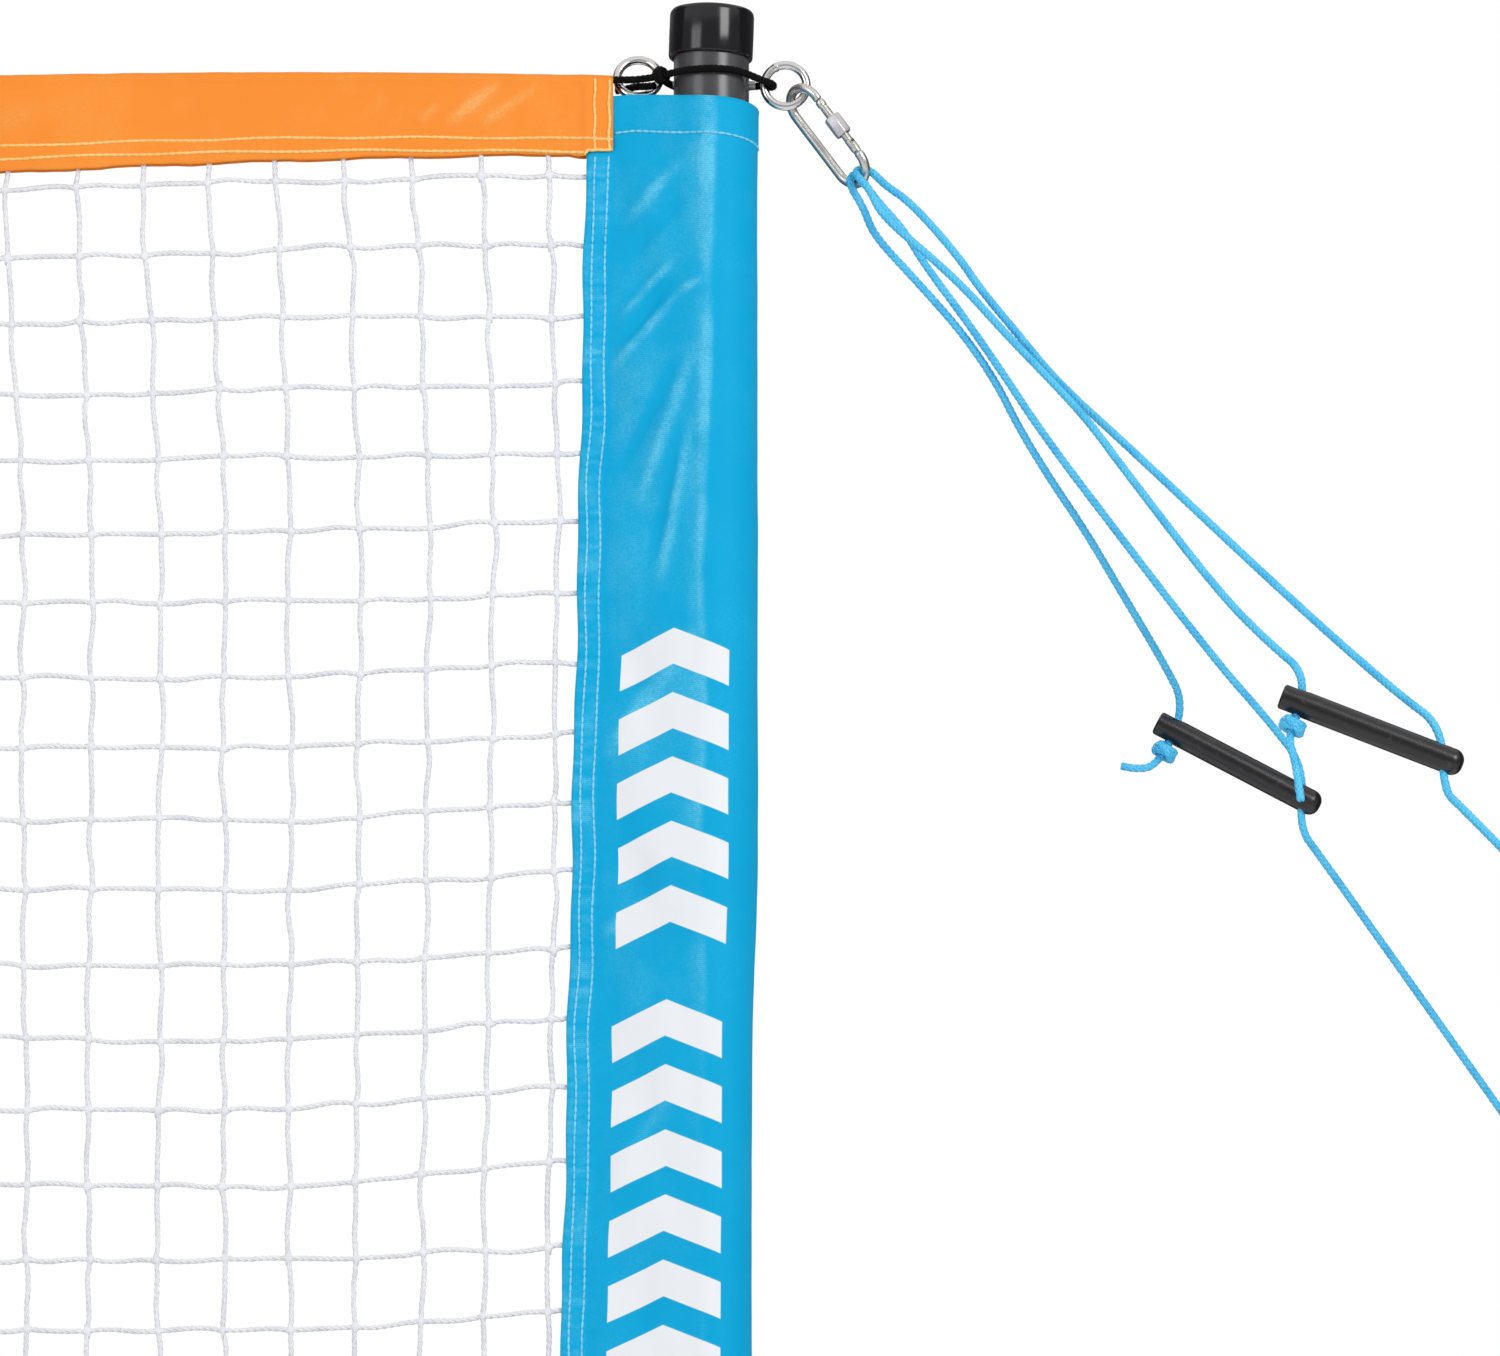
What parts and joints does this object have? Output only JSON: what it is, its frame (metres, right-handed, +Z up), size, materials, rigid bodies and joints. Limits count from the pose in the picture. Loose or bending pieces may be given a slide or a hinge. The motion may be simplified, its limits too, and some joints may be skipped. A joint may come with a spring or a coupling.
{
  "type": "net end with guy lines",
  "caption": "Top pole section of a portable sports net with cloth sleeve, taped net bay, steel ring and screw hook, and two guy ropes with line sliders.",
  "frame": {"origin": "centre of the pole section's open lower end", "axes": "+Z up along the pole, +X along the net towards the guys, +Y away from the net's front face"},
  "size_m": [1.043, 0.7547, 1.035],
  "materials": {
    "pole_steel": "dark grey powder coat, half gloss",
    "cap_plastic": "glossy black moulding",
    "pin_steel": "dull zinc",
    "orange_tape": "coated woven tape with pale stitching",
    "blue_cloth": "woven polyester cloth with pale stitching",
    "white_twine": "twisted twine",
    "black_cord": "braided cord",
    "ring_steel": "polished",
    "hook_steel": "zinc plated, worn bright",
    "cyan_rope": "braided, slightly shiny",
    "slider_plastic": "satin moulding"
  },
  "bodies": {
    "pole_and_net": {"pole_tube": "pole_steel", "pole_cap": "cap_plastic", "cord_pin": "pin_steel", "top_tape": "orange_tape", "pole_sleeve": "blue_cloth", "net_mesh": "white_twine", "foot_tape": "orange_tape", "head_cord": "black_cord", "head_knot": "black_cord", "cord_tail": "black_cord"},
    "tape_ring": {"tape_ring": "ring_steel"},
    "guy_ring": {"guy_ring": "ring_steel"},
    "hook": {"hook_body": "hook_steel", "gate_rivet": "hook_steel"},
    "gate": {"hook_gate": "hook_steel", "gate_plunger": "hook_steel", "gate_spring": "hook_steel"},
    "screw_sleeve": {"screw_sleeve": "hook_steel"},
    "rear_guy": {"rear_upper_rope": "cyan_rope"},
    "rear_slider": {"rear_slider": "slider_plastic", "rear_stop_knot": "cyan_rope", "rear_tail": "cyan_rope", "rear_lower_rope": "cyan_rope"},
    "rear_loop": {"rear_end_knot": "cyan_rope", "rear_end_loop": "cyan_rope"},
    "front_guy": {"front_upper_rope": "cyan_rope"},
    "front_slider": {"front_slider": "slider_plastic", "front_stop_knot": "cyan_rope", "front_tail": "cyan_rope", "front_lower_rope": "cyan_rope"},
    "front_loop": {"front_end_knot": "cyan_rope", "front_end_loop": "cyan_rope"}
  },
  "joints": [
    {"name": "tape_ring_spin", "type": "hinge", "parent": "pole_and_net", "child": "tape_ring", "pos_m": [-0.0432, 0.0064, 0.9957], "axis": [0, -0.9511, 0.309], "continuous": true},
    {"name": "guy_ring_swing", "type": "hinge", "parent": "pole_and_net", "child": "guy_ring", "pos_m": [0.0312, 0, 0.9896], "axis": [0, 0, 1], "range_deg": [-22, 22]},
    {"name": "hook_swing", "type": "hinge", "parent": "guy_ring", "child": "hook", "pos_m": [0.04873, 0, 0.98633], "axis": [0.4725, -0.809, 0.3496], "range_deg": [-18, 18]},
    {"name": "gate_turn", "type": "hinge", "parent": "hook", "child": "gate", "pos_m": [0.08404, -0.00963, 0.95038], "axis": [-0.6503, -0.5878, -0.4812], "range_deg": [0, 22], "stiffness_Nm_per_rad": 0.02, "springref_deg": -17.19},
    {"name": "sleeve_screw", "type": "slide", "parent": "gate", "child": "screw_sleeve", "axis": [-0.5948, 0, 0.8039], "range_m": [-0.004, 0.0145]},
    {"name": "rear_guy_swing", "type": "hinge", "parent": "hook", "child": "rear_guy", "pos_m": [0.08579, 0.00406, 0.93129], "axis": [0.6794, -0.7334, -0.0223], "range_deg": [-12, 12]},
    {"name": "rear_slider_slide", "type": "slide", "parent": "rear_guy", "child": "rear_slider", "axis": [0.5388, 0.4669, -0.7012], "range_m": [-0.12, 0.06], "deforming": ["rear_upper_rope"]},
    {"name": "rear_loop_slide", "type": "slide", "parent": "rear_slider", "child": "rear_loop", "axis": [0.5388, 0.4669, -0.7012], "range_m": [-0.12, 0.24], "deforming": ["rear_lower_rope"]},
    {"name": "front_guy_swing", "type": "hinge", "parent": "hook", "child": "front_guy", "pos_m": [0.09058, -0.00427, 0.93499], "axis": [0.1597, -0.7251, 0.6699], "range_deg": [-12, 12]},
    {"name": "front_slider_slide", "type": "slide", "parent": "front_guy", "child": "front_slider", "axis": [0.5257, -0.4599, -0.7156], "range_m": [-0.12, 0.03], "deforming": ["front_upper_rope"]},
    {"name": "front_loop_slide", "type": "slide", "parent": "front_slider", "child": "front_loop", "axis": [0.5257, -0.4599, -0.7156], "range_m": [-0.06, 0.24], "deforming": ["front_lower_rope"]}
  ],
  "couplings": [
    {"joint": "rear_loop_slide", "follows": "rear_slider_slide", "ratio": -2},
    {"joint": "front_loop_slide", "follows": "front_slider_slide", "ratio": -2}
  ]
}
